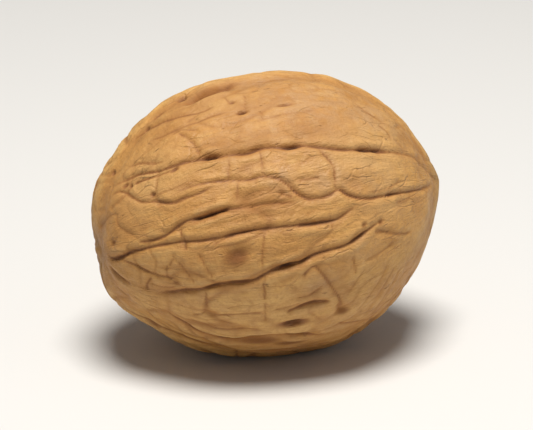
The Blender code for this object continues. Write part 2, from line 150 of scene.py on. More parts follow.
# Linear colours of the shell
PALE = (0.74, 0.46, 0.158, 1)
GOLDEN = (0.64, 0.34, 0.093, 1)
TAN = (0.53, 0.25, 0.058, 1)
BROWN = (0.33, 0.138, 0.033, 1)
STREAK = (0.43, 0.205, 0.06, 1)
ASH = (0.44, 0.275, 0.148, 1)
SAND = (0.71, 0.445, 0.18, 1)
UMBER = (0.2, 0.075, 0.02, 1)
DARK = (0.085, 0.03, 0.01, 1)

# Patterns of the shell's look, each a noise that rises from 0 to 1 between two of its levels
MOTTLE = Pattern(110, 4, 0.5, 0.34, 0.66)
BROWN_PATCHES = Pattern(330, 5, 0.6, 0.48, 0.72)
CLOUDS = Pattern(800, 4, 0.6, 0.5, 0.7)
FIBRES = Pattern(1, 4, 0.6, 0.35, 0.7)
GRIT = Pattern(2400, 3, 0.65, 0.45, 0.7)
SPECKS = Pattern(1.1, 2, 0.5, 0.7, 0.78)
BLOOM_PATCHES = Pattern(700, 4, 0.5, 0.2, 0.7)
VEIN_PATCHES = Pattern(260, 2, 0.5, 0.42, 0.66)
DULL_PATCHES = Pattern(900, 3, 0.5, 0.3, 0.7)

# Scales of what is drawn in the grain, per millimetre along it and across it
FIBRE_SCALE = (0.28, 2.6, 2.6)
SPECK_SCALE = (0.7, 1.5, 1.5)
VEIN_SCALE = (0.3, 0.62, 0.62)
THREAD_SCALE = (0.5, 3.2, 3.2)

# The bend of the grain: the scale and detail of its noise, the noise's middle, and its swing in millimetres
BEND_SCALE = 0.22
BEND_DETAIL = 3
BEND_MIDDLE = (0.5, 0.5, 0.5)
BEND_SWING = (2.5, 2.5, 2.5)

# How strong the layers of colour are: a share, or two levels of a mark and the shares at them
BROWN_PATCH_SHARE = 0.55
CLOUD_SHARE = 0.3
FIBRE_SHARE = 0.38
GRIT_SHARE = 0.3
DARK_PATCH_SHARE = 0.75
HALO_SHARE = 0.4
VEIN_SHARE = 0.3
SPECK_SHARE = 0.5
# The next two make high places lighter, partly as wear and partly as painted highlight, and make hollows
# browner as painted shade
HIGH_WEAR_AND_HIGHLIGHT = (0, 1, 0, 0.6)
LOW_PAINTED_SHADE = (-1, 0.1, 0.5, 0)
DARK_PATCH_UMBER = (0.4, 1.4, 0, 0.9)
LINE_BROWN = (0, 0.35, 0, 0.8)
LINE_UMBER = (0.15, 0.6, 0, 0.95)
LINE_DARK = (0.55, 0.95, 0, 1)
VEIN_LINE = (0, 0.07, 1, 0)

# The shell's surface: its roughness, what blotches, patches of painted shade and lines add to that, its
# gloss, and its finest bumps
ROUGHNESS = (0.46, 0.62)
DARK_PATCH_DULLNESS = 0.3
LINE_DULLNESS = 0.25
GLOSS = 0.45
THREAD_NOISE = (1, 4, 0.65)
DIMPLE_NOISE = (2300, 3, 0.6)
THREAD_HEIGHT = 0.55
DIMPLE_HEIGHT = 0.5
VEIN_HEIGHT = -0.3
SPECK_HEIGHT = -0.5
BUMP_STRENGTH = 0.8
BUMP_HEIGHT = 0.3 * MM

# Numbers of the sockets that the mix node uses for colours
MIX_FACTOR = 0
MIX_UNDER = 6
MIX_OVER = 7
MIX_COLOUR = 2

# The floor, the lights and the camera
FLOOR_SIZE = 3
FLOOR_GAP = 0.02 * MM
FLOOR_COLOUR = (0.68, 0.675, 0.665, 1)
FLOOR_ROUGHNESS = 0.9
SKY_COLOUR = (1, 1, 1, 1)
SKY_STRENGTH = 0.17
KEY_PLACE = (-0.01, -0.08, 0.5)
KEY_SIZE = 0.24
KEY_POWER = 3.48
KEY_COLOUR = (1, 0.97, 0.92)
FILL_PLACE = (0.45, -0.3, 0.25)
FILL_SIZE = 0.4
FILL_POWER = 0.12
FILL_COLOUR = (1, 1, 1)
VIEW_TURN = math.radians(-15)
VIEW_RISE = math.radians(20)
VIEW_DISTANCE = 0.4
VIEW_WIDTH = 0.064
CLIP_START = 0.01

# Grooves of the front cheek. Slots are the stretches, by station, where a groove opens and deepens.
FRONT_GROOVES = (
    Groove(((29, 29), (35, 36), (41, 40), (45, 44), (50, 48.5), (54, 50), (60, 51.8), (66, 53.6), (71, 55.2),
            (76, 56.4), (80, 57.2), (84, 56.5), (88, 57), (93, 58.8), (98, 59), (102, 60.5), (107, 62),
            (112, 63.2), (118, 63.4), (124, 63.5), (131, 63.5), (138, 62.8), (146, 62.5), (153, 65.5),
            (161, 73)),
           0.68 * MM, 0.42 * MM,
           ((65, 72, 1.1), (77, 86, 0.4), (91, 98, 0.9), (116, 127, 0.5), (128, 165, -0.3))),
    Groove(((12, 92), (16, 98), (20, 97), (25, 94), (30, 91.3), (36, 90.3), (42, 89.5), (50, 89.2),
            (58, 90.3), (66, 90.4), (71, 90), (77, 90), (81, 90.4), (86, 91), (92, 92), (98, 92.6),
            (102, 92.9), (105, 92.2), (108, 90.5), (112, 88.8)),
           0.57 * MM, 0.42 * MM, ((13, 29, 0.8), (66, 77, 0.4), (90, 103, 0.4))),
    Groove(((38, 124.5), (42, 121.5), (46, 118.8), (50, 116.3), (55, 114.8), (60, 112.6), (65, 111.4),
            (70, 111.4), (74, 111), (78, 108.8), (82, 107.6), (87, 107), (90, 106.8), (94, 105), (99, 104.5),
            (104, 104.5), (108.7, 103.3), (112.7, 101.5), (116.5, 100), (119.5, 99.3)),
           0.68 * MM, 0.42 * MM, ((57, 63, 0.5), (65, 74, 0.3), (81, 93, 0.9), (106, 113, 0.3))),
    Groove(((52, 65), (57, 64.3), (63, 65), (68, 66), (73, 67.4), (78, 69), (82, 68.8), (86, 70.4),
            (89, 73.2), (92, 78.5), (95, 81.7), (98, 82.5), (102.5, 82.2), (106, 80.6), (109, 83.6),
            (112.6, 85.9), (116.8, 87.3), (121.5, 87.5), (127.5, 88), (133.5, 88.7), (141, 89.8),
            (150, 90.8), (162, 92)),
           0.49 * MM, 0.36 * MM, ((88, 95, 0.4), (105, 113, 0.4), (124, 131, 0.6))),
    Groove(((34, 84), (37, 85.3), (41, 85.6), (45, 85), (48, 83.5), (51, 81.5), (55, 79.7), (60, 80),
            (64, 79.6), (69, 79.2), (74, 79.8), (79, 80.2), (84, 80.8), (88, 81.7), (92, 82.6)),
           0.49 * MM, 0.38 * MM, ((35, 38, 0.6), (50, 52, 0.5), (57, 70, 1.3), (86, 90, 0.3))),
    Groove(((27, 37), (31, 40), (34, 45), (36, 51), (38.5, 57.5), (42, 62), (45.5, 64), (49, 67.3), (52, 69),
            (56, 68.7), (60, 69), (64, 68.2), (68, 67.5)),
           0.41 * MM, 0.36 * MM, ((46, 52, 0.5),)),
    Groove(((39, 45), (42, 46.5), (46, 49), (50, 51), (55, 53)), 0.44 * MM, 0.36 * MM, ((41, 46, 0.4),)),
    Groove(((40, 31), (44, 34.5), (47, 39.5), (50, 43), (53, 45.5)), 0.27 * MM, 0.4 * MM),
    Groove(((42, 136), (47, 141), (52, 145), (57, 147.8), (62, 148.5), (67, 148), (71, 146.5), (75, 144.3),
            (80, 143.6), (86, 144.5), (91, 146.5), (97, 150)),
           0.75 * MM, 0.5 * MM, ((62, 69, 0.5), (72, 79, 1.1), (83, 91, 0.9))),
    Groove(((22, 97.5), (28, 100.5), (32, 103), (36, 106), (40, 108), (45, 109), (49, 109.6)),
           0.35 * MM, 0.36 * MM, ((30, 37, 0.4),)),
    Groove(((12, 112), (16, 117), (20, 119.5), (24, 120.8), (28, 121.5)),
           0.41 * MM, 0.36 * MM, ((13, 25, 0.4),)),
    Groove(((83, 128.8), (86, 127.6), (90, 126.4), (94, 126.6), (98, 127.8)),
           0.46 * MM, 0.4 * MM, ((85, 97, 0.5),)),
    Groove(((67, 14), (70, 13.8), (73, 14), (75.7, 14), (78.6, 12.8), (82.5, 10.6), (87, 9)),
           0.5 * MM, 0.7 * MM, ((69, 81, 1.6),)),
    Groove(((46, 9), (51, 12.5), (56, 17), (61, 21.5), (66, 25), (71, 27), (76, 27)), 0.35 * MM, 0.5 * MM),
    Groove(((50, 26), (56, 30), (62, 32), (68, 33), (74, 33.2), (80, 34)), 0.24 * MM, 0.5 * MM),
    Groove(((116, 101.8), (119.5, 103.8), (122.5, 106.6), (126, 109), (130, 111.7), (134, 113.4)),
           0.22 * MM, 0.4 * MM),
    Groove(((37, 115), (40, 116.6), (44, 116.3), (48, 114)), 0.24 * MM, 0.36 * MM),
    Groove(((58, 130.2), (62, 129), (66, 128), (72, 127.5), (77, 128)), 0.22 * MM, 0.4 * MM),
    Groove(((50, 137), (57, 138.5), (64, 139.5), (70, 138), (77, 138.5)), 0.27 * MM, 0.42 * MM),
    Groove(((100, 143), (106, 147), (112, 152)), 0.3 * MM, 0.42 * MM),
)

# Faint thin lines of the net between the front cheek's long grooves, and fainter ones that slant across it
NET_LINE_DEPTH = 0.2 * MM
NET_LINE_REACH = 0.36 * MM
FRONT_NET = (
    ((27.5, 56), (25.5, 62), (27, 70), (31.5, 78), (36, 84)),
    ((10, 40), (15, 48), (22, 52), (27, 57)),
    ((17, 143), (22, 143), (27, 141)),
    ((76, 66), (74.5, 69), (73.5, 73), (73, 77)),
    ((93, 73.5), (97, 74), (101, 74)),
    ((116, 103), (119, 104.5), (124, 106)),
    ((106.6, 110), (107, 114), (106.8, 118.5)),
    ((79, 126.5), (84, 126), (88, 125)),
    ((76.6, 121.5), (76.6, 125), (76.5, 129), (76.5, 133)),
    ((80.5, 20), (80.3, 24), (81, 29)),
    ((86.5, 24), (86, 28), (84.8, 33), (84, 37)),
    ((89, 38), (88.6, 41), (88, 44)),
    ((65, 31), (67.5, 29.5), (70.5, 28)),
    ((124, 33), (127, 37.5), (131, 41), (134, 43.5)),
    ((130, 46), (132.5, 49), (135, 54)),
    ((58, 33), (62.5, 33.5), (65.5, 36.5), (68, 38)),
    ((56.8, 95.3), (58.5, 102), (60.9, 109.3)),
    ((62.2, 93), (65, 91.8), (67.6, 90.6)),
    ((56.8, 126), (56.6, 129), (52.7, 132.5)),
    ((45, 101), (44.5, 105), (44.3, 109.5)),
    ((100, 130), (100.5, 133), (101, 136)),
    ((96, 118.5), (93, 121), (90, 122.5), (86, 122)),
    ((47.7, 96.3), (49.5, 99.7), (51.4, 104.5), (53.4, 109), (54, 112)),
)
HATCH_DEPTH = 0.12 * MM
FRONT_HATCH = (
    ((107, 139), (112, 133), (117, 127), (121, 120)),
    ((110, 146), (114, 139), (119, 132), (124, 125)),
    ((103, 128), (107, 122), (111, 117)),
    ((114, 149), (118, 142), (123, 135), (127, 129)),
)

# Short lines that cross between the long grooves
FRONT_LINKS = (
    Groove(((60.8, 34), (62.5, 38), (64, 43), (64.8, 48), (65.2, 52)), 0.33 * MM, 0.34 * MM),
    Groove(((73.5, 57), (73.3, 60), (72, 65), (71.5, 67)), 0.19 * MM, 0.34 * MM),
    Groove(((84, 57), (84, 60.5), (83.3, 65), (83, 69)), 0.22 * MM, 0.34 * MM),
    Groove(((102.5, 61), (104.3, 65), (106.3, 70), (106, 73), (105.6, 76), (105.3, 79), (106.2, 80.6)),
           0.33 * MM, 0.34 * MM),
    Groove(((79.5, 91), (78.5, 95), (77.5, 100), (77, 104), (76.5, 109)), 0.24 * MM, 0.34 * MM),
    Groove(((76.5, 112), (76.6, 117), (76.6, 121)), 0.24 * MM, 0.34 * MM),
    Groove(((89.5, 114.4), (90.3, 111.6), (93.3, 109.7), (95.9, 114.5), (98.2, 120.5), (100.2, 125.9),
            (101.2, 131), (101.6, 135.5)), 0.29 * MM, 0.42 * MM),
    Groove(((57.8, 115), (57.6, 120), (57.6, 126)), 0.27 * MM, 0.36 * MM),
    Groove(((38, 110), (35.7, 116), (35.3, 122)), 0.33 * MM, 0.4 * MM),
    Groove(((48.4, 94), (48.2, 96), (47, 99), (45.7, 102)), 0.22 * MM, 0.34 * MM),
    Groove(((51.6, 82), (52.3, 86), (52.6, 90), (52.5, 94.5)), 0.33 * MM, 0.34 * MM),
    Groove(((86.5, 77), (88.5, 78.5), (90.5, 80)), 0.41 * MM, 0.36 * MM),
    Groove(((101, 88), (101.3, 92), (101.5, 97)), 0.19 * MM, 0.34 * MM),
)

# Small pits of the front side and of the top
PITS = (
    Oval(85.3, 135.5, 2.4 * MM, 0.8 * MM, 0.85 * MM),
    Oval(83, 36.4, 0.95 * MM, 0.48 * MM, 0.7 * MM),
    Oval(81.4, 28, 0.6 * MM, 0.55 * MM, 0.3 * MM),
    Oval(97, 36.6, 1.7 * MM, 0.45 * MM, 0.3 * MM),
    Oval(45.2, 59.5, 0.55 * MM, 0.5 * MM, 0.4 * MM),
    Oval(55.3, 52.8, 0.9 * MM, 0.45 * MM, 0.45 * MM),
    Oval(35.4, 41, 0.8 * MM, 0.5 * MM, 0.35 * MM),
    Oval(37.4, 44.6, 0.5 * MM, 0.5 * MM, 0.35 * MM),
    Oval(32.8, 17, 0.6 * MM, 0.6 * MM, 0.35 * MM),
    Oval(52.3, 12, 0.7 * MM, 0.6 * MM, 0.4 * MM),
    Oval(119.6, 99.7, 0.7 * MM, 0.55 * MM, 0.26 * MM),
    Oval(112.6, 98.2, 0.6 * MM, 0.55 * MM, 0.22 * MM),
    Oval(47.5, 112, 1.0 * MM, 0.5 * MM, 0.16 * MM),
    Oval(19.8, 80.2, 0.8 * MM, 0.6 * MM, 0.18 * MM),
    Oval(77, 12.2, 4.6 * MM, 0.7 * MM, 0.36 * MM),
    Oval(82, 10.6, 3 * MM, 0.6 * MM, 0.26 * MM),
)

# Broad soft hollows, browner the deeper they are, which is partly painted shade
DENTS = (
    Oval(70.5, 98.5, 2.6 * MM, 1.4 * MM, 0.34 * MM),
    Oval(76.5, 77, 2.3 * MM, 1.3 * MM, 0.26 * MM),
    Oval(97.5, 55.5, 2.8 * MM, 1.2 * MM, 0.24 * MM),
    Oval(102, 134, 2.2 * MM, 1.1 * MM, 0.34 * MM),
    Oval(77, 147, 3.6 * MM, 1.6 * MM, 0.55 * MM),
    Oval(59.5, 128.5, 1.5 * MM, 1.1 * MM, 0.2 * MM),
    Oval(111.5, 79, 2.6 * MM, 1.5 * MM, 0.2 * MM),
    Oval(69.9, 17.6, 2.2 * MM, 1.0 * MM, 0.22 * MM),
)

# Brown blotches of the shell, and patches of painted shade: along the underside, in the furrow beside the
# upper rim and over the lower side
BLOTCHES_AND_SHADE = (
    Oval(77, 87.5, 3 * MM, 2 * MM, 0.6),
    Oval(94, 88, 3 * MM, 1.2 * MM, 0.6),
    Oval(84, 95, 2.5 * MM, 1.2 * MM, 0.4),
    Oval(57.8, 42, 0.9 * MM, 0.8 * MM, 0.6),
    Oval(54.5, 43.5, 1 * MM, 1 * MM, 0.5),
    Oval(53.4, 106.5, 1.2 * MM, 0.7 * MM, 0.5),
    Oval(47.5, 107, 1.2 * MM, 0.8 * MM, 0.4),
    Oval(48, 111.5, 1.1 * MM, 0.8 * MM, 0.6),
    Oval(66.3, 123.7, 2 * MM, 0.9 * MM, 0.4),
    Oval(77, 132.5, 1.6 * MM, 1 * MM, 0.6),
    Oval(63.5, 133, 1.4 * MM, 0.8 * MM, 0.5),
    Oval(57.5, 127.5, 1 * MM, 1 * MM, 0.5),
    Oval(86, 118.5, 1.4 * MM, 1 * MM, 0.5),
    Oval(83.5, 114.5, 1.4 * MM, 1 * MM, 0.3),
    Oval(73.5, 101.5, 2.6 * MM, 1.2 * MM, 0.5),
    Oval(69.2, 100, 3.7 * MM, 2.7 * MM, 1.3),
    # Broad browner patches of the lower front; those at bearings 103 and 128 are painted shade of the lower
    # side, the one at 147 painted shade along the underside
    Oval(62, 103, 14 * MM, 8 * MM, 0.3),
    Oval(22, 95, 8 * MM, 10 * MM, 0.25),
    Oval(35, 115, 12 * MM, 8 * MM, 0.25),
    Oval(80, 147, 14 * MM, 4 * MM, 0.45),
    Oval(108, 128, 22 * MM, 14 * MM, 0.32),
    Oval(88, 112, 16 * MM, 8 * MM, 0.15),
    Oval(57, 94, 2 * MM, 0.8 * MM, 0.4),
    # Painted shade in the furrow beside the upper rim
    Oval(77.5, 13, 6 * MM, 3 * MM, 1.5),
    Oval(69.5, 12.5, 2.6 * MM, 2.4 * MM, 0.9),
    # Painted shade along the underside
    Oval(75, 149, 7 * MM, 1.8 * MM, 1.3),
    Oval(85, 151.5, 5 * MM, 1.4 * MM, 1.3),
    Oval(78.2, 43.5, 1.6 * MM, 0.8 * MM, 0.3),
    Oval(98, 50, 2.6 * MM, 1.6 * MM, 0.35),
    Oval(104, 53.5, 1.2 * MM, 0.8 * MM, 0.4),
    Oval(107.3, 55.5, 2 * MM, 1 * MM, 0.3),
    Oval(112.5, 59.8, 1.6 * MM, 0.8 * MM, 0.4),
    Oval(107.5, 35.5, 1.2 * MM, 0.6 * MM, 0.4),
    Oval(114.5, 36.5, 2.6 * MM, 0.8 * MM, 0.35),
    Oval(109.5, 27, 1.6 * MM, 0.6 * MM, 0.4),
    Oval(118.5, 46, 1 * MM, 0.8 * MM, 0.4),
    Oval(60.5, 22, 1.2 * MM, 0.8 * MM, 0.4),
    Oval(46, 36, 1.6 * MM, 0.6 * MM, 0.4),
    Oval(41, 138, 1.2 * MM, 0.8 * MM, 0.6),
    Oval(43.5, 143.5, 1.6 * MM, 1 * MM, 0.6),
    Oval(46, 148, 1.6 * MM, 1 * MM, 0.6),
    Oval(108, 126, 0.9 * MM, 0.7 * MM, 0.4),
    Oval(106.8, 128, 1 * MM, 0.8 * MM, 0.4),
    Oval(116, 132, 1.4 * MM, 1.2 * MM, 0.5),
    Oval(108, 138, 1.2 * MM, 1 * MM, 0.4),
    Oval(106.5, 144, 2.2 * MM, 1.4 * MM, 0.5),
    Oval(105, 151, 1.4 * MM, 1 * MM, 0.5),
    Oval(114, 148.5, 3 * MM, 1 * MM, 0.5),
    Oval(123.5, 112, 1.6 * MM, 1.6 * MM, 0.4),
    Oval(112.3, 121, 0.9 * MM, 0.7 * MM, 0.5),
    Oval(96.5, 102, 0.9 * MM, 0.9 * MM, 0.5),
    Oval(109, 101, 1 * MM, 0.8 * MM, 0.5),
    Oval(118.5, 95, 1 * MM, 1 * MM, 0.4),
    Oval(22.5, 53, 1 * MM, 0.9 * MM, 0.5),
    Oval(19.8, 80.2, 1.4 * MM, 1.2 * MM, 0.5),
    Oval(31.8, 78, 1 * MM, 0.8 * MM, 0.5),
    Oval(87.5, 76.5, 1.8 * MM, 1.2 * MM, 0.8),
    Oval(102, 135.8, 2.2 * MM, 1.4 * MM, 1.1),
    # Broad darker patches of the front and the top
    Oval(68, 20, 16 * MM, 7 * MM, 0.45),
    Oval(78, 53, 10 * MM, 3.4 * MM, 0.65),
    Oval(105, 52, 9 * MM, 5 * MM, 0.6),
    Oval(88, 32, 7 * MM, 4 * MM, 0.35),
    Oval(55, 11, 8 * MM, 3 * MM, 0.4),
    Oval(80, 80.5, 13 * MM, 3.6 * MM, 0.66),
    Oval(80, 99.5, 10 * MM, 3.2 * MM, 0.6),
    Oval(27, 66, 6 * MM, 9 * MM, 0.45),
    Oval(98, 142, 8 * MM, 3 * MM, 0.3),
    # Painted shade along the underside
    Oval(84, 160, 16 * MM, 5 * MM, 0.85),
)

# Brown blotches of the other sides, drawn from the seed
BACK_BLOTCHES = 130
BACK_BLOTCH_STATION = (15, 155)
BACK_BLOTCH_LENGTH = (0.9 * MM, 3 * MM)
BACK_BLOTCH_WIDTH = (0.6 * MM, 1.6 * MM)
BACK_BLOTCH_DARKNESS = (0.3, 0.8)

# Ashen patches of the shell
BLOOMS = (
    Oval(103, 76, 6 * MM, 4 * MM, 0.6),
    Oval(88, 72, 4 * MM, 3 * MM, 0.5),
    Oval(96, 118, 5 * MM, 3 * MM, 0.5),
    Oval(112, 108, 4 * MM, 4 * MM, 0.5),
    Oval(110, 36, 20 * MM, 12 * MM, 0.55),
    Oval(127, 42, 12 * MM, 10 * MM, 0.6),
    Oval(122, 77, 9 * MM, 6 * MM, 0.45),
    Oval(100, 143, 6 * MM, 4 * MM, 0.3),
    Oval(92, 14, 15 * MM, 6 * MM, 0.5),
    Oval(120, 250, 8 * MM, 5 * MM, 0.6),
    Oval(62, 290, 7 * MM, 4 * MM, 0.6),
    Oval(80, 210, 6 * MM, 5 * MM, 0.6),
)

# Places without winding wrinkles
CALMS = (
    Oval(116, 45, 15 * MM, 10 * MM, 1),
    Oval(133, 76, 6 * MM, 8 * MM, 1),
    Oval(137, 114, 12 * MM, 10 * MM, 1),
)

# Pale patches of the shell
PALES = (
    Oval(76, 27, 9 * MM, 4 * MM, 0.35),
    Oval(45, 50, 11 * MM, 9 * MM, 0.5),
    Oval(118, 64, 15 * MM, 7 * MM, 0.5),
    Oval(124, 92, 12 * MM, 7 * MM, 0.35),
    Oval(134, 110, 8 * MM, 8 * MM, 0.2),
    Oval(70, 240, 9 * MM, 6 * MM, 0.5),
    Oval(110, 290, 12 * MM, 6 * MM, 0.5),
    Oval(100, 205, 9 * MM, 6 * MM, 0.4),
)

# The long grooves of the sides behind and below: the bearings that they keep to, and how they wander
BACK_BEARINGS = (162, 199, 217, 233, 251, 268, 285, 303, 321, 341)
BACK_START = (16, 27)
BACK_END = (148, 164)
BACK_STEP = 7
BACK_WANDER = (5.5, 3.3, 1.9)
BACK_TURNS = (2.1, 4.7, 9.3)
BACK_DEPTH = (0.38 * MM, 0.6 * MM)
BACK_REACH = 0.42 * MM
BACK_SLOTS = 3
BACK_SLOT_START = (30, 140)
BACK_SLOT_SPAN = (6, 14)
BACK_SLOT_GAIN = (0.4, 1.1)

# The links that leave one long groove there and join the next one, so that together they net the shell
LINKS_PER_GAP = 5
LINK_START = (32, 125)
LINK_SPAN = (6, 26)
LINK_BEND = 3
LINK_DEPTH = (0.24 * MM, 0.42 * MM)
LINK_REACH = 0.38 * MM

# The bearings of the sides behind and below, and the small pits there
BACK_SIDE = (160, 372)
BACK_PITS = 26
BACK_PIT_STATION = (35, 145)
BACK_PIT_LENGTH = (0.7 * MM, 1.8 * MM)
BACK_PIT_WIDTH = (0.5 * MM, 0.8 * MM)
BACK_PIT_DEPTH = (0.25 * MM, 0.5 * MM)

# The thin net of the other sides: rows of cells along the nut, longer than wide, with wavering borders.
# The bearings of its gap are where it starts to fade, is gone, comes back and is whole again.
NET_ROWS = 31
NET_CELL = 5.6 * MM
NET_STRETCH = 1.7
NET_STAGGER = 0.42
NET_WAVER = 0.7 * MM
NET_WAVER_REACH = 4 * MM
NET_PATCHES = Patches(7 * MM, 0.6, 0.5, 0)
NET_GAP = (4, 16, 142, 156)

# Faint short creases that run along the nut on every side
CREASES = 70
CREASE_START = (22, 140)
CREASE_SPAN = (8, 24)
CREASE_SLANT = 5
CREASE_BEND = 2.5
CREASE_DEPTH = (0.07 * MM, 0.15 * MM)
CREASE_REACH = (0.35 * MM, 0.6 * MM)


def knots(values, share):
    """A smooth curve through evenly spaced values, read at shares from 0 to 1."""
    values = np.array([2 * values[0] - values[1], *values, 2 * values[-1] - values[-2]])
    spans = len(values) - 3
    place = np.clip(share, 0, 1) * spans
    index = np.minimum(place.astype(int), spans - 1)
    t = place - index
    before, start, end, after = (values[index + i] for i in range(4))
    return (start + 0.5 * t * (end - before + t * (2 * before - 5 * start + 4 * end - after
            + t * (3 * (start - end) + after - before))))


def half_width(station, bearing):
    """The plain form's distance from the long axis."""
    share = station / math.pi
    across, deep = np.cos(bearing), np.sin(bearing)
    seam = np.where(across > 0, knots(UPPER_FULLNESS, share), knots(LOWER_FULLNESS, share))
    cheek = knots(CHEEK_FULLNESS, share)
    return MM * np.sin(station) / np.sqrt((across / seam) ** 2 + (deep / cheek) ** 2)


def plain_form(station, bearing):
    """Points of the nut without its relief: x to the apex, y to the upper seam, z to the front cheek."""
    width = half_width(station, bearing)
    along = -LENGTH / 2 * np.cos(station)
    return np.stack((along, width * np.cos(bearing), width * np.sin(bearing)), axis=-1)


def waves(points, reach, stretch, seed):
    """A smooth seeded height of about -1 to 1, with lumps as wide as reach and stretched along the nut."""
    draw = np.random.default_rng(seed)
    across = draw.normal(size=(WAVES, 3))
    across *= math.pi / np.linalg.norm(across, axis=1, keepdims=True)
    across /= reach * draw.uniform(*WAVE_SPREAD, (WAVES, 1))
    across[:, 0] /= stretch
    phase = draw.uniform(0, 2 * math.pi, WAVES)
    return np.sin(points @ across.T + phase).sum(axis=1) / math.sqrt(WAVES)


def patchy(points, patches, seed):
    """A seeded strength up to 1 that differs from patch to patch."""
    swing = patches.swing * waves(points, patches.reach, 1, seed)
    return np.clip(patches.middle + swing, patches.least, 1)


def smooth_path(places):
    """Stations and bearings along a smooth line through the places, in degrees."""
    places = np.array(places, float)
    share = np.linspace(0, 1, PATH_STEPS * (len(places) - 1) + 1)
    return knots(places[:, 0], share), knots(places[:, 1], share)


def nearest_on(path, points):
    """For each point, its distance from the path and where the nearest spot is, in steps along the path."""
    start, step = path[:-1], np.diff(path, axis=0)
    offset = points[:, None] - start
    along = np.clip((offset * step).sum(axis=2) / (step ** 2).sum(axis=1), 0, 1)
    away = np.linalg.norm(offset - along[..., None] * step, axis=2)
    best = away.argmin(axis=1)
    rows = np.arange(len(points))
    return away[rows, best], best + along[rows, best]


def slot_gain(groove, station):
    """How much deeper than its plain depth a groove is at each station."""
    gain = np.ones(station.shape)
    for first, last, extra in groove.slots:
        rise = (station - first) / SLOT_EASE
        fall = (last - station) / SLOT_EASE
        gain += extra * np.clip(rise, 0, 1) * np.clip(fall, 0, 1)
    return gain


def bowed_line(draw, start, first, end, last, bend):
    """Three places from one station and bearing to another, bowed sideways by up to bend degrees."""
    return (start, first), ((start + end) / 2, (first + last) / 2 + draw.uniform(-bend, bend)), (end, last)


def wandering_line(draw, bearing):
    """Stations and bearings of one long groove that keeps near a bearing."""
    stations = np.arange(draw.uniform(*BACK_START), draw.uniform(*BACK_END), BACK_STEP)
    phase = draw.uniform(0, 2 * math.pi, len(BACK_TURNS))
    sway = np.sin(np.radians(np.outer(stations, BACK_TURNS)) + phase)
    return stations, bearing + sway @ np.array(BACK_WANDER)


def back_grooves():
    """The long grooves and links of the sides behind and below, drawn from the seed."""
    draw = np.random.default_rng(SEED)
    lines = [wandering_line(draw, bearing) for bearing in BACK_BEARINGS]
    grooves = []
    for stations, bearings in lines:
        slots = tuple((start, start + draw.uniform(*BACK_SLOT_SPAN), draw.uniform(*BACK_SLOT_GAIN))
                      for start in draw.uniform(*BACK_SLOT_START, BACK_SLOTS))
        grooves.append(Groove(tuple(zip(stations, bearings)), draw.uniform(*BACK_DEPTH), BACK_REACH, slots))
    for pair in zip(lines, lines[1:]):
        for _ in range(LINKS_PER_GAP):
            one, other = pair if draw.random() < 0.5 else pair[::-1]
            start = draw.uniform(*LINK_START)
            end = start + draw.uniform(*LINK_SPAN)
            places = bowed_line(draw, start, np.interp(start, *one), end, np.interp(end, *other), LINK_BEND)
            grooves.append(Groove(places, draw.uniform(*LINK_DEPTH), LINK_REACH))
    return grooves


def drawn_ovals(count, seed, *ranges):
    """Seeded ovals, with the ranges of their station, bearing, length, width and depth."""
    draw = np.random.default_rng(seed)
    return [Oval(*(draw.uniform(*limits) for limits in ranges)) for _ in range(count)]


def back_pits():
    """Small pits of the sides behind and below, drawn from the seed."""
    return drawn_ovals(BACK_PITS, SEED + 1, BACK_PIT_STATION, BACK_SIDE, BACK_PIT_LENGTH, BACK_PIT_WIDTH,
                       BACK_PIT_DEPTH)


def creases():
    """Faint creases of every side, drawn from the seed."""
    draw = np.random.default_rng(SEED + 5)
    found = []
    for _ in range(CREASES):
        start = draw.uniform(*CREASE_START)
        first = draw.uniform(0, 360)
        last = first + draw.uniform(-CREASE_SLANT, CREASE_SLANT)
        places = bowed_line(draw, start, first, start + draw.uniform(*CREASE_SPAN), last, CREASE_BEND)
        found.append(Groove(places, draw.uniform(*CREASE_DEPTH), draw.uniform(*CREASE_REACH)))
    return found


def back_blotches():
    """Brown blotches of the sides behind and below, drawn from the seed."""
    return drawn_ovals(BACK_BLOTCHES, SEED + 9, BACK_BLOTCH_STATION, BACK_SIDE, BACK_BLOTCH_LENGTH,
                       BACK_BLOTCH_WIDTH, BACK_BLOTCH_DARKNESS)


def front_net():
    """The faint lines of the front cheek, as fine grooves."""
    kinds = ((FRONT_NET, NET_LINE_DEPTH), (FRONT_HATCH, HATCH_DEPTH))
    return [Groove(places, depth, NET_LINE_REACH) for lines, depth in kinds for places in lines]


def net_centres():
    """The middles of the net's cells, in seeded rows along the nut, as grain coordinates over the stretch."""
    draw = np.random.default_rng(SEED + 10)
    centres = []
    for row in range(NET_ROWS):
        along = np.arange(draw.uniform(0, NET_CELL), math.pi * GRAIN_RADIUS, NET_CELL)
        along += NET_CELL * draw.uniform(-NET_STAGGER, NET_STAGGER, along.shape)
        turn = 2 * math.pi / NET_ROWS * (row + draw.uniform(-NET_STAGGER, NET_STAGGER, along.shape))
        across, deep = GRAIN_RADIUS * np.cos(turn), GRAIN_RADIUS * np.sin(turn)
        centres.append(np.stack((along / NET_STRETCH, across, deep), axis=-1))
    return np.concatenate(centres)


def net_distance(station, bearing, points):
    """How far each point is from the nearest border between two cells of the net."""
    centres = net_centres()
    tree = KDTree(len(centres))
    for index, centre in enumerate(centres):
        tree.insert(centre, index)
    tree.balance()
    waver = [NET_WAVER * waves(points, NET_WAVER_REACH, 1, SEED + 11 + axis) for axis in range(3)]
    places = grain_place(station, bearing) * (1 / NET_STRETCH, 1, 1) + np.stack(waver, axis=-1)
    away = np.empty(len(points))
    for index, place in enumerate(places):
        (one, _, near), (other, _, far) = tree.find_n(place, 2)
        away[index] = (far ** 2 - near ** 2) / (2 * (one - other).length)
    return away


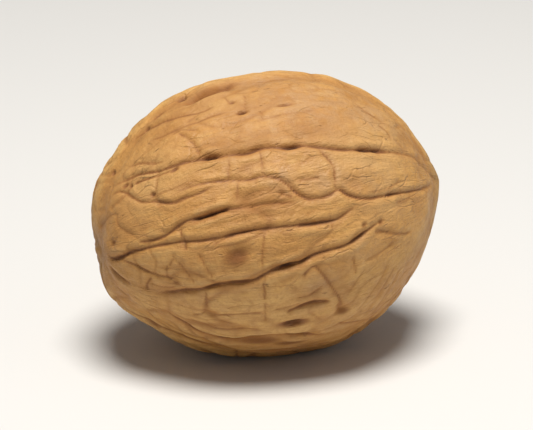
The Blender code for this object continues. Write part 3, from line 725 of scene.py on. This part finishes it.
def add_net(shell, station, bearing):
    """Sinks the thin net into every side but the front cheek, stronger in some patches than in others."""
    away = net_distance(station, bearing, shell["points"])
    turn = np.degrees(bearing) % 360
    start, gone, back, end = NET_GAP
    shown = 1 - np.clip((turn - start) / (gone - start), 0, 1) * np.clip((end - turn) / (end - back), 0, 1)
    ends = np.clip(np.sin(station) / math.sin(SEAM_FADE), 0, 1)
    strength = shown * ends * patchy(shell["points"], NET_PATCHES, SEED + 14)
    share = strength * np.exp(-(away / NET_LINE_REACH) ** 2)
    shell["height"] -= NET_LINE_DEPTH * share
    shell["line"] = np.maximum(shell["line"], line_darkness(NET_LINE_DEPTH) * share)


def line_darkness(depth):
    """How dark the bottom of a groove, a pit or a line is painted, darker the deeper it is: partly the
    shell's brown, partly painted shade.
    """
    return np.clip(depth / DARKEST_DEPTH, 0, 1) ** LINE_EASE


def groove_places(points, groove):
    """The points near a groove, with their distance from it, the groove's depth there and how open it is."""
    station, bearing = smooth_path(groove.places)
    path = plain_form(np.radians(station), np.radians(bearing))
    widest = GROOVE_EDGE * SHOULDER_REACH * groove.reach
    middle = (path.min(axis=0) + path.max(axis=0)) / 2
    span = (path.max(axis=0) - path.min(axis=0)) / 2 + widest
    near = np.flatnonzero((np.abs(points - middle) < span).all(axis=1))
    away, place = nearest_on(path, points[near])
    share = place / (len(path) - 1)
    taper = np.clip(np.minimum(share, 1 - share) / END_EASE, END_DEPTH, 1)
    return near, away, taper, slot_gain(groove, np.interp(place, np.arange(len(path)), station))


def add_groove(shell, groove):
    """Sinks one groove into the shell, with soft shoulders, raised lips that get a painted highlight, and a
    dark bottom that is partly the shell's brown and partly painted shade.
    """
    near, away, taper, gain = groove_places(shell["points"], groove)
    across = (away + shell["wobble"][near]) / groove.reach
    depth = groove.depth * taper * (PLAIN_SHARE + gain - 1)
    lip = np.exp(-(across - LIP_OFFSET) ** 2)
    slot = np.exp(-(across / SLOT_SHARE) ** 2)
    shoulder = np.exp(-(across / SHOULDER_REACH) ** 2)
    shoulders = SHOULDER_DEPTH * SHOULDER_SHARE * groove.depth * taper * shoulder
    shell["height"][near] += depth * (LIP_HEIGHT * lip - (1 - SHOULDER_DEPTH) * slot) - shoulders
    # The line and the halo beside it darken with the groove's depth: partly the shell's brown, partly painted
    # shade
    dark = line_darkness(groove.depth * taper * gain) * np.clip(PLAIN_DARKNESS + gain - 1, 0, 1)
    shell["line"][near] = np.maximum(shell["line"][near], dark * np.exp(-(across / LINE_SHARE) ** 2))
    shell["groove_halo"][near] = np.maximum(shell["groove_halo"][near], dark * np.exp(-(across / HALO_REACH) ** 2))
    # A painted highlight on the groove's raised lips
    shell["pale_and_lip_highlight"][near] = np.maximum(shell["pale_and_lip_highlight"][near], LIP_HIGHLIGHT * dark * lip)


def oval_share(points, oval):
    """1 in the middle of an oval, whose length lies along the nut, falling to 0 outside it."""
    station, bearing = math.radians(oval.station), math.radians(oval.bearing)
    centre = plain_form(np.array(station), np.array(bearing))
    ahead = plain_form(np.array(station + STEP_AHEAD), np.array(bearing)) - centre
    offset = points - centre
    along = offset @ ahead / np.linalg.norm(ahead)
    across = np.sqrt(np.maximum((offset ** 2).sum(axis=1) - along ** 2, 0))
    return np.exp(-(2 * along / oval.length) ** 2 - (2 * across / oval.width) ** 2)


def add_pit(shell, pit, mark):
    """Sinks one hollow and adds its darkness, greater the deeper it is and partly painted shade, to the mark
    that it leaves on the shell.
    """
    share = oval_share(shell["points"], pit)
    shell["height"] -= pit.depth * share
    shell[mark] = np.maximum(shell[mark], line_darkness(PIT_DARKNESS * pit.depth) * np.sqrt(share))


def add_dark_patch(shell, blotch_and_shade):
    """Darkens one patch of the shell, which lies a little lower than the shell around it; some of these
    patches are painted shade.
    """
    share = blotch_and_shade.depth * oval_share(shell["points"], blotch_and_shade)
    shell["height"] -= DARK_PATCH_DEPTH * share
    shell["blotch_and_shade"] = np.maximum(shell["blotch_and_shade"], share)


def seam_height(station, bearing, points):
    """The rim along the seam, its suture and the valleys beside it; and how near the suture is."""
    sway = SUTURE_SWAY * np.sin(SUTURE_TURNS * station) * np.sin(station)
    turn = (bearing - sway + math.pi / 2) % math.pi - math.pi / 2
    away = half_width(station, bearing) * np.abs(turn)
    fade = np.clip(np.minimum(station, math.pi - station) / SEAM_FADE, 0, 1)
    uneven = 1 + VALLEY_UNEVEN * waves(points, VALLEY_PATCH, RIPPLE_STRETCH, SEED + 2)
    rim = RIM_HEIGHT * np.clip(station / BASE_FADE, 0, 1) * np.exp(-(away / RIM_REACH) ** 2)
    near = fade * np.exp(-(away / (SLOT_SHARE * SUTURE_REACH)) ** 2)
    valley = VALLEY_DEPTH * fade * uneven * np.exp(-((away - VALLEY_OFFSET) / VALLEY_REACH) ** 2)
    return rim - SUTURE_DEPTH * near - valley, near


def scar_height(points):
    """The button and the shallow ring of the stem scar."""
    away = np.linalg.norm(points - (-LENGTH / 2, 0, 0), axis=1)
    button = SCAR_BUTTON * np.exp(-(away / SCAR_BUTTON_REACH) ** 2)
    return button - SCAR_DEPTH * np.exp(-((away - SCAR_OFFSET) / SCAR_REACH) ** 2)


def rest_fade(points):
    """0 on the spot that the nut rests on, rising to 1 around it."""
    heights = points @ np.array(lie_down().to_3x3())[2]
    away = np.linalg.norm(points - points[heights.argmin()], axis=1)
    return 1 - np.exp(-(away / REST_REACH) ** 4)


def strongest(points, ovals):
    """How strong the strongest of some ovals is at each point."""
    return np.max([oval.depth * oval_share(points, oval) for oval in ovals], axis=0)


def add_wrinkles(shell):
    """Sinks the winding wrinkles into every side, stronger in some patches than in others."""
    points = shell["points"]
    rough = 1 - strongest(points, CALMS)
    for index, (reach, stretch, depth, width) in enumerate(WRINKLE_SETS):
        strength = rough * patchy(points, WRINKLE_PATCHES, SEED + 20 + index)
        share = strength * np.exp(-(waves(points, reach, stretch, SEED + 30 + index) / width) ** 2)
        shell["height"] -= depth * share
        shell["line"] = np.maximum(shell["line"], line_darkness(depth) * share)


def relief(station, bearing, points):
    """Heights over the plain form, and the marks that colour the shell."""
    shell = {"points": points, "height": LUMP_HEIGHT * waves(points, LUMP_REACH, 1, SEED + 3),
             "wobble": WOBBLE * waves(points, WOBBLE_REACH, 1, SEED + 6)}
    for mark in MARKS:
        shell[mark] = np.zeros(len(points))
    seam, suture = seam_height(station, bearing, points)
    shell["line"] = SUTURE_DARKNESS * suture
    shell["height"] += seam + scar_height(points)
    shell["height"] += RIPPLE_HEIGHT * waves(points, RIPPLE_REACH, RIPPLE_STRETCH, SEED + 4)
    shell["height"] += GRAIN_HEIGHT * waves(points, GRAIN_REACH, GRAIN_STRETCH, SEED + 7)
    shell["height"] += PILLOW_HEIGHT * waves(points, PILLOW_REACH, PILLOW_STRETCH, SEED + 15)
    for groove in (*FRONT_GROOVES, *FRONT_LINKS, *front_net(), *back_grooves(), *creases()):
        add_groove(shell, groove)
    add_net(shell, station, bearing)
    add_wrinkles(shell)
    for pit in (*PITS, *back_pits()):
        add_pit(shell, pit, "line")
    for dent in DENTS:
        add_pit(shell, dent, "blotch_and_shade")
    for blotch_and_shade in (*BLOTCHES_AND_SHADE, *back_blotches()):
        add_dark_patch(shell, blotch_and_shade)
    for mark, ovals in (("bloom", BLOOMS), ("pale_and_lip_highlight", PALES)):
        shell[mark] = np.maximum(shell[mark], strongest(points, ovals))
    # The rise: by it hollows get painted shade, and high places get lighter, partly as wear and partly as
    # painted highlight
    shell["rise"] = np.clip(shell["height"] / RISE_SPAN, -1, 1)
    shell["height"] *= rest_fade(points)
    return shell


def read_vertices(mesh, field):
    values = np.empty(len(mesh.vertices) * 3, np.float32)
    mesh.vertices.foreach_get(field, values)
    return values.reshape(-1, 3).astype(float)


def write_vertices(mesh, points):
    mesh.vertices.foreach_set("co", points.astype(np.float32).ravel())
    mesh.update()


def round_cube():
    """A unit sphere of even squares, made from a cube."""
    shape = bmesh.new()
    bmesh.ops.create_cube(shape, size=2)
    bmesh.ops.subdivide_edges(shape, edges=shape.edges[:], cuts=CUBE_CUTS, use_grid_fill=True)
    mesh = bpy.data.meshes.new("walnut")
    shape.to_mesh(mesh)
    shape.free()
    unit = np.tan(read_vertices(mesh, "co") * math.pi / 4)
    write_vertices(mesh, unit / np.linalg.norm(unit, axis=1, keepdims=True))
    return mesh


def grain_place(station, bearing):
    """Where a point lies along and round the nut, as if it were unrolled onto a tube."""
    return GRAIN_RADIUS * np.stack((station, np.cos(bearing), np.sin(bearing)), axis=-1)


def keep_marks(mesh, shell, station, bearing):
    """Stores the marks on the mesh, and where each point lies along and round the nut, in millimetres."""
    for mark in MARKS:
        stored = mesh.attributes.new(mark, "FLOAT", "POINT")
        stored.data.foreach_set("value", shell[mark].astype(np.float32))
    stored = mesh.attributes.new("grain", "FLOAT_VECTOR", "POINT")
    stored.data.foreach_set("vector", (grain_place(station, bearing) / MM).astype(np.float32).ravel())


def shape_shell(mesh):
    """Turns a unit sphere into the nut, along its own axes."""
    unit = read_vertices(mesh, "co")
    station = np.arccos(np.clip(-unit[:, 0], -1, 1))
    bearing = np.arctan2(unit[:, 2], unit[:, 1])
    points = plain_form(station, bearing)
    write_vertices(mesh, points)
    outward = read_vertices(mesh, "normal")
    shell = relief(station, bearing, points)
    write_vertices(mesh, points + outward * shell["height"][:, None])
    keep_marks(mesh, shell, station, bearing)


def lie_down():
    """The turn from the nut's own axes to how it lies."""
    to_row = Matrix(((1, 0, 0, 0), (0, 0, -1, 0), (0, 1, 0, 0), (0, 0, 0, 1)))
    return Matrix.Rotation(-TILT, 4, "Y") @ Matrix.Rotation(-ROLL, 4, "X") @ to_row


def lay_down(mesh, low, high):
    """Turns the nut to how it lies, cut flat where it rests, inside the given box. Gives its own middle."""
    mesh.transform(lie_down())
    points = read_vertices(mesh, "co")
    drop = points[:, 2].min() + REST_CUT
    points[:, 2] = np.maximum(points[:, 2] - drop, 0)
    size = points.max(axis=0) - points.min(axis=0)
    middle = (points.min(axis=0) + points.max(axis=0)) / 2 * (1, 1, 0)
    fit = min(1, *(np.array(high - low) / size))
    write_vertices(mesh, (points - middle) * fit)
    return Vector(-middle - (0, 0, drop)) * fit


def add_node(tree, kind, sockets=(), **settings):
    """A new node; sockets gives each input's name or number a value, or the output that feeds it."""
    node = tree.nodes.new(kind)
    for name, value in settings.items():
        setattr(node, name, value)
    for name, value in dict(sockets).items():
        if isinstance(value, bpy.types.NodeSocket):
            tree.links.new(value, node.inputs[name])
        else:
            node.inputs[name].default_value = value
    return node


def attribute(tree, name, output="Fac"):
    return add_node(tree, "ShaderNodeAttribute", attribute_name=name).outputs[output]


def vectors(tree, operation, one, other):
    sockets = {0: one, 1: other}
    return add_node(tree, "ShaderNodeVectorMath", sockets, operation=operation).outputs["Vector"]


def scaled(tree, vector, scale):
    return vectors(tree, "MULTIPLY", vector, scale)


def noise(tree, vector, scale, detail, roughness):
    sockets = {"Vector": vector, "Scale": scale, "Detail": detail, "Roughness": roughness}
    return add_node(tree, "ShaderNodeTexNoise", sockets).outputs["Fac"]


def edges(tree, vector):
    """Distance to the border between the cells of a net."""
    kind = "ShaderNodeTexVoronoi"
    sockets = {"Vector": vector, "Scale": 1}
    return add_node(tree, kind, sockets, feature="DISTANCE_TO_EDGE").outputs["Distance"]


def ramp(tree, value, start, end, low=0, high=1):
    """value from start to end, as low to high, with soft ends."""
    sockets = {"Value": value, "From Min": start, "From Max": end, "To Min": low, "To Max": high}
    return add_node(tree, "ShaderNodeMapRange", sockets, interpolation_type="SMOOTHSTEP").outputs["Result"]


def drawn(tree, vector, pattern, low=0, high=1):
    """A pattern over the given coordinates, from low to high."""
    value = noise(tree, vector, pattern.scale, pattern.detail, pattern.roughness)
    return ramp(tree, value, pattern.start, pattern.end, low, high)


def times(tree, one, other):
    return add_node(tree, "ShaderNodeMath", {0: one, 1: other}, operation="MULTIPLY").outputs["Value"]


def plus(tree, one, other):
    return add_node(tree, "ShaderNodeMath", {0: one, 1: other}, operation="ADD").outputs["Value"]


def mix(tree, share, under, over):
    """The colour under, covered to a share by the colour over it."""
    sockets = {MIX_FACTOR: share, MIX_UNDER: under, MIX_OVER: over}
    return add_node(tree, "ShaderNodeMix", sockets, data_type="RGBA").outputs[MIX_COLOUR]


def bent_grain(tree, grain):
    """The grain's coordinates, bent by noise so that nothing drawn along them runs straight."""
    sockets = {"Vector": grain, "Scale": BEND_SCALE, "Detail": BEND_DETAIL}
    bend = add_node(tree, "ShaderNodeTexNoise", sockets).outputs["Color"]
    centred = vectors(tree, "SUBTRACT", bend, BEND_MIDDLE)
    return vectors(tree, "ADD", grain, scaled(tree, centred, BEND_SWING))


def shell_colour(tree, place, grain, veins, specks):
    """The shell's colour, from its broad mottling to the dark lines in its grooves, with painted shade in its
    hollows, grooves and lower side and painted highlight on its high places and the lips of its grooves.
    """
    rise, blotch_and_shade, line = (attribute(tree, mark) for mark in ("rise", "blotch_and_shade", "line"))
    fibres = drawn(tree, scaled(tree, grain, FIBRE_SCALE), FIBRES)
    layers = (
        (drawn(tree, place, MOTTLE), TAN),
        # Painted highlight and wear on high places, painted shade in hollows
        (ramp(tree, rise, *HIGH_WEAR_AND_HIGHLIGHT), PALE),
        (ramp(tree, rise, *LOW_PAINTED_SHADE), BROWN),
        (times(tree, drawn(tree, place, BROWN_PATCHES), BROWN_PATCH_SHARE), BROWN),
        (times(tree, drawn(tree, place, CLOUDS), CLOUD_SHARE), PALE),
        (times(tree, fibres, FIBRE_SHARE), STREAK),
        (times(tree, drawn(tree, place, GRIT), GRIT_SHARE), BROWN),
        (times(tree, attribute(tree, "bloom"), drawn(tree, place, BLOOM_PATCHES)), ASH),
        # Paler patches, and the painted highlight on the lips of grooves
        (attribute(tree, "pale_and_lip_highlight"), SAND),
        # Brown blotches and patches of painted shade, umber where strongest
        (times(tree, blotch_and_shade, DARK_PATCH_SHARE), BROWN),
        (ramp(tree, blotch_and_shade, *DARK_PATCH_UMBER), UMBER),
        # A brown halo beside the grooves, partly painted shade
        (times(tree, attribute(tree, "groove_halo"), HALO_SHARE), BROWN),
        (times(tree, veins, VEIN_SHARE), BROWN),
        (times(tree, specks, SPECK_SHARE), UMBER),
        # Groove lines darkened by depth, partly the shell's brown and partly painted shade, near black in the
        # deepest slots
        (ramp(tree, line, *LINE_BROWN), BROWN),
        (ramp(tree, line, *LINE_UMBER), UMBER),
        (ramp(tree, line, *LINE_DARK), DARK),
    )
    colour = GOLDEN
    for share, over in layers:
        colour = mix(tree, share, colour, over)
    return colour


def shell_roughness(tree, place):
    """The shell's roughness, which is duller in its blotches, its patches of painted shade and the lines of
    its grooves.
    """
    rough = drawn(tree, place, DULL_PATCHES, *ROUGHNESS)
    for mark, dullness in (("blotch_and_shade", DARK_PATCH_DULLNESS), ("line", LINE_DULLNESS)):
        rough = plus(tree, rough, times(tree, attribute(tree, mark), dullness))
    return rough


def shell_bumps(tree, place, bent, veins, specks):
    """The shell's finest bumps: threads in the grain, dimples, and its sunken veins and specks."""
    height = times(tree, noise(tree, scaled(tree, bent, THREAD_SCALE), *THREAD_NOISE), THREAD_HEIGHT)
    dimples = noise(tree, place, *DIMPLE_NOISE)
    for bump, share in ((dimples, DIMPLE_HEIGHT), (veins, VEIN_HEIGHT), (specks, SPECK_HEIGHT)):
        height = plus(tree, height, times(tree, bump, share))
    sockets = {"Height": height, "Strength": BUMP_STRENGTH, "Distance": BUMP_HEIGHT}
    return add_node(tree, "ShaderNodeBump", sockets).outputs["Normal"]


def shell_material():
    material = bpy.data.materials.new("walnut_shell_fine")
    material.use_nodes = True
    tree = material.node_tree
    shader = tree.nodes["Principled BSDF"]
    place = add_node(tree, "ShaderNodeTexCoord").outputs["Object"]
    grain = attribute(tree, "grain", "Vector")
    bent = bent_grain(tree, grain)
    lines = ramp(tree, edges(tree, scaled(tree, bent, VEIN_SCALE)), *VEIN_LINE)
    veins = times(tree, lines, drawn(tree, place, VEIN_PATCHES))
    specks = drawn(tree, scaled(tree, grain, SPECK_SCALE), SPECKS)
    shader.inputs["Specular IOR Level"].default_value = GLOSS
    tree.links.new(shell_colour(tree, place, grain, veins, specks), shader.inputs["Base Color"])
    tree.links.new(shell_roughness(tree, place), shader.inputs["Roughness"])
    tree.links.new(shell_bumps(tree, place, bent, veins, specks), shader.inputs["Normal"])
    return material


def make_walnut(low, high):
    """The fine nut in the place of the solid one, and its own middle."""
    mesh = round_cube()
    shape_shell(mesh)
    middle = lay_down(mesh, low, high)
    mesh.shade_smooth()
    mesh.materials.append(shell_material())
    walnut = bpy.data.objects.new("walnut", mesh)
    bpy.context.scene.collection.objects.link(walnut)
    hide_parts("walnut_shell")
    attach(walnut, "root")
    return middle


def make_floor():
    bpy.ops.mesh.primitive_plane_add(size=FLOOR_SIZE, location=(0, 0, -FLOOR_GAP))
    floor = bpy.context.object
    floor.name = "floor"
    material = bpy.data.materials.new("floor")
    material.use_nodes = True
    shader = material.node_tree.nodes["Principled BSDF"]
    shader.inputs["Base Color"].default_value = FLOOR_COLOUR
    shader.inputs["Roughness"].default_value = FLOOR_ROUGHNESS
    floor.data.materials.append(material)


def make_light(name, place, aim, size, power, colour):
    light = bpy.data.lights.new(name, "AREA")
    light.shape = "DISK"
    light.size = size
    light.energy = power
    light.color = colour
    lamp = bpy.data.objects.new(name, light)
    bpy.context.scene.collection.objects.link(lamp)
    lamp.location = place
    lamp.rotation_euler = (Vector(place) - aim).to_track_quat("Z", "Y").to_euler()


def make_world():
    world = bpy.data.worlds.new("studio")
    world.use_nodes = True
    background = world.node_tree.nodes["Background"]
    background.inputs["Color"].default_value = SKY_COLOUR
    background.inputs["Strength"].default_value = SKY_STRENGTH
    bpy.context.scene.world = world
    bpy.context.scene.view_settings.view_transform = "Standard"


def make_camera(aim):
    """Looks at the nut as the photograph does, a little from above and from the side of its base."""
    back = Vector((math.sin(VIEW_TURN) * math.cos(VIEW_RISE), -math.cos(VIEW_TURN) * math.cos(VIEW_RISE),
                   math.sin(VIEW_RISE)))
    camera = bpy.data.cameras.new("camera")
    camera.lens = camera.sensor_width * VIEW_DISTANCE / VIEW_WIDTH
    camera.clip_start = CLIP_START
    holder = bpy.data.objects.new("camera", camera)
    bpy.context.scene.collection.objects.link(holder)
    holder.location = aim + back * VIEW_DISTANCE
    holder.rotation_euler = back.to_track_quat("Z", "Y").to_euler()
    bpy.context.scene.camera = holder


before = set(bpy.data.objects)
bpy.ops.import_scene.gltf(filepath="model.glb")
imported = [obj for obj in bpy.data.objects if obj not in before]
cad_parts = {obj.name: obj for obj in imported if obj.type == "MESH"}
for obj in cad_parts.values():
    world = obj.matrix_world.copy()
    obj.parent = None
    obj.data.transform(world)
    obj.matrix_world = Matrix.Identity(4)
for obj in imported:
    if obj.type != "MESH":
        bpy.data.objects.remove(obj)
cad_low, cad_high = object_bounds()
own_middle = make_walnut(cad_low, cad_high)
make_floor()
make_world()
make_light("key", KEY_PLACE, own_middle, KEY_SIZE, KEY_POWER, KEY_COLOUR)
make_light("fill", FILL_PLACE, own_middle, FILL_SIZE, FILL_POWER, FILL_COLOUR)
make_camera(own_middle)
